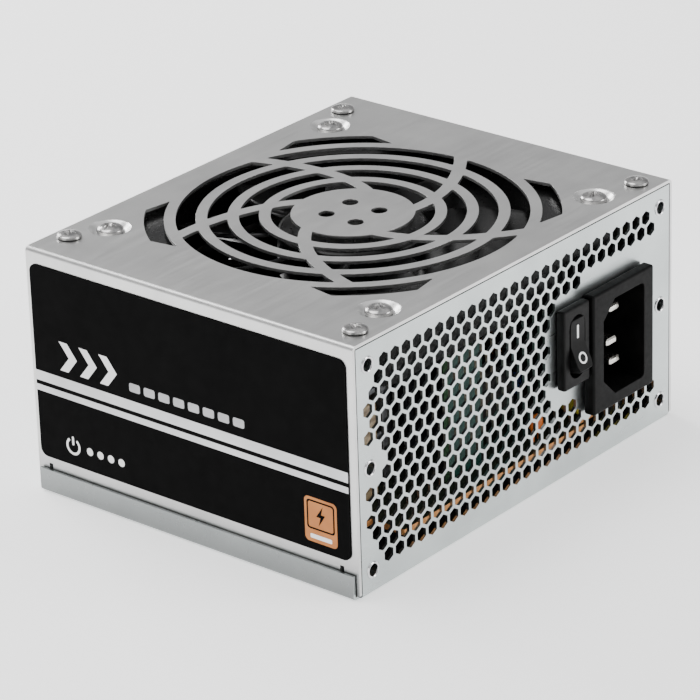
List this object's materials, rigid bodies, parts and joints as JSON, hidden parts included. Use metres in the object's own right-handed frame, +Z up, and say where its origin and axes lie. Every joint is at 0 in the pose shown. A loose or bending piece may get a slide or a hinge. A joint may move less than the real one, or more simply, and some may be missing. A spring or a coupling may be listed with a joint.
{
  "type": "power supply unit",
  "caption": "Small-form-factor computer power supply: folded steel case, swirl fan grille, honeycomb end panel, mains inlet and rocker switch.",
  "frame": {"origin": "middle of the case's underside", "axes": "+Z up, the fan grille on top; -Y out of the panel with the mains inlet and switch; -X out of the labelled side"},
  "size_m": [0.125, 0.1072, 0.0649],
  "materials": {
    "galvanised_steel": "satin galvanised sheet",
    "bright_steel": "nickel-plated",
    "black_label": "semi-gloss printed film",
    "white_label": "matt printed film",
    "black_plastic": "fine-grained moulding",
    "fan_plastic": "satin moulding",
    "white_plastic": "natural nylon",
    "tan_board": "phenolic laminate",
    "green_board": "solder-masked laminate",
    "insulating_film": "matt film",
    "aluminium": "extruded",
    "ferrite": "ground ferrite",
    "yellow_tape": "polyester tape",
    "tan_tape": "varnished tape",
    "copper": "enamelled copper wire",
    "brass": "plated brass",
    "black_sleeve": "printed shrink sleeve",
    "orange_disc": "dipped epoxy",
    "brown_wire": "PVC insulation",
    "blue_wire": "PVC insulation",
    "green_wire": "PVC insulation",
    "black_wire": "PVC insulation"
  },
  "bodies": {
    "case": {"base_chassis": "galvanised_steel", "top_cover": "galvanised_steel", "cover_screw_1": "bright_steel", "cover_screw_2": "bright_steel", "cover_screw_3": "bright_steel", "cover_screw_4": "bright_steel", "fan_screw_1": "bright_steel", "fan_screw_2": "bright_steel", "fan_screw_3": "bright_steel", "fan_screw_4": "bright_steel", "board_screw_1": "bright_steel", "board_screw_2": "bright_steel", "board_screw_3": "bright_steel", "board_screw_4": "bright_steel", "side_label": "black_label", "rating_label": "white_label", "inlet_housing": "black_plastic", "switch_housing": "black_plastic", "cable_grommet": "black_plastic", "fan_frame": "fan_plastic", "fan_plug": "white_plastic", "mains_fuse": "white_plastic", "main_board": "tan_board", "control_board": "green_board", "fan_driver_board": "green_board", "insulation_sheet": "insulating_film", "primary_heatsink": "aluminium", "secondary_heatsink": "aluminium", "transformer_core": "ferrite", "transformer_winding": "yellow_tape", "line_capacitor": "yellow_tape", "pfc_choke": "tan_tape", "output_choke": "copper", "emi_choke": "copper", "fan_stator": "copper", "inlet_pin_line": "brass", "inlet_pin_neutral": "brass", "inlet_pin_earth": "brass", "switch_terminal_common": "brass", "switch_terminal_load": "brass", "fan_bearing": "brass", "bulk_capacitor": "black_sleeve", "output_capacitor_1": "black_sleeve", "output_capacitor_2": "black_sleeve", "power_transistor_1": "black_sleeve", "power_transistor_2": "black_sleeve", "output_rectifier": "black_sleeve", "bridge_rectifier": "black_sleeve", "inrush_thermistor": "orange_disc", "line_lead": "brown_wire", "neutral_lead": "blue_wire", "earth_lead": "green_wire", "switched_lead": "black_wire", "fan_lead": "black_wire"},
    "fan_rotor": {"fan_impeller": "fan_plastic", "fan_magnet_ring": "ferrite", "fan_shaft": "bright_steel"},
    "rocker": {"switch_rocker": "black_plastic", "switch_plunger": "white_plastic"},
    "contact_lever": {"switch_contact_lever": "copper"}
  },
  "joints": [
    {"name": "fan_spin", "type": "hinge", "parent": "case", "child": "fan_rotor", "pos_m": [0, 0, 0.0537], "axis": [0, 0, 1], "continuous": true},
    {"name": "rocker_tip", "type": "hinge", "parent": "case", "child": "rocker", "pos_m": [0.01875, -0.0495, 0.0351], "axis": [1, 0, 0], "range_deg": [0, 24]},
    {"name": "contact_lever_tip", "type": "hinge", "parent": "case", "child": "contact_lever", "pos_m": [0.01875, -0.0409, 0.0351], "axis": [1, 0, 0], "range_deg": [-16, 0]}
  ],
  "couplings": [
    {"joint": "contact_lever_tip", "follows": "rocker_tip", "ratio": -0.6666}
  ]
}
